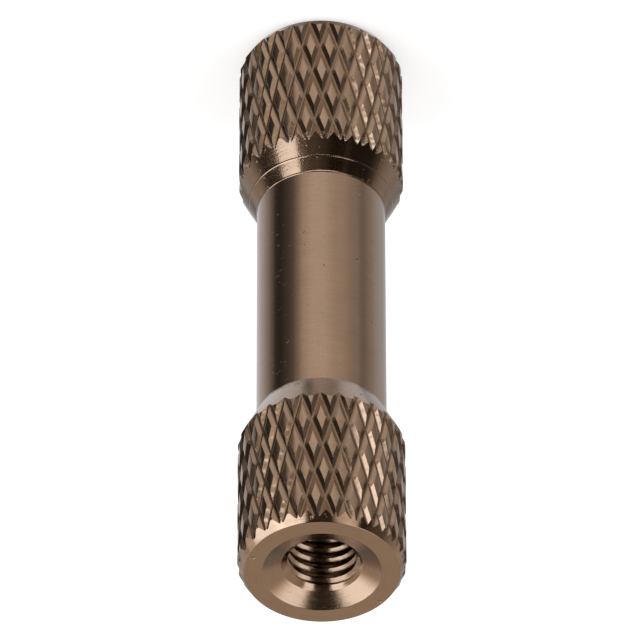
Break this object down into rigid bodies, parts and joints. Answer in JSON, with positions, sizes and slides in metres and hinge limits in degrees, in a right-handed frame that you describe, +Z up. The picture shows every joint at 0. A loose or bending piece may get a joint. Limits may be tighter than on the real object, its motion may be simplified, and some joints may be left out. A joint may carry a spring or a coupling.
{
  "type": "threaded standoff",
  "caption": "Slim round standoff with a plain waist between diamond-knurled heads and a threaded bore along its axis, for holding plates or boards apart.",
  "frame": {"origin": "centre of the lower end face, which the standoff stands on", "axes": "+Z up along the axis of the bore, from the lower end face to the upper one"},
  "size_m": [0.0066, 0.0066, 0.026],
  "materials": {
    "anodised_metal": "bronze-brown anodised, satin, turned"
  },
  "bodies": {
    "root": {"standoff": "anodised_metal"}
  },
  "joints": []
}
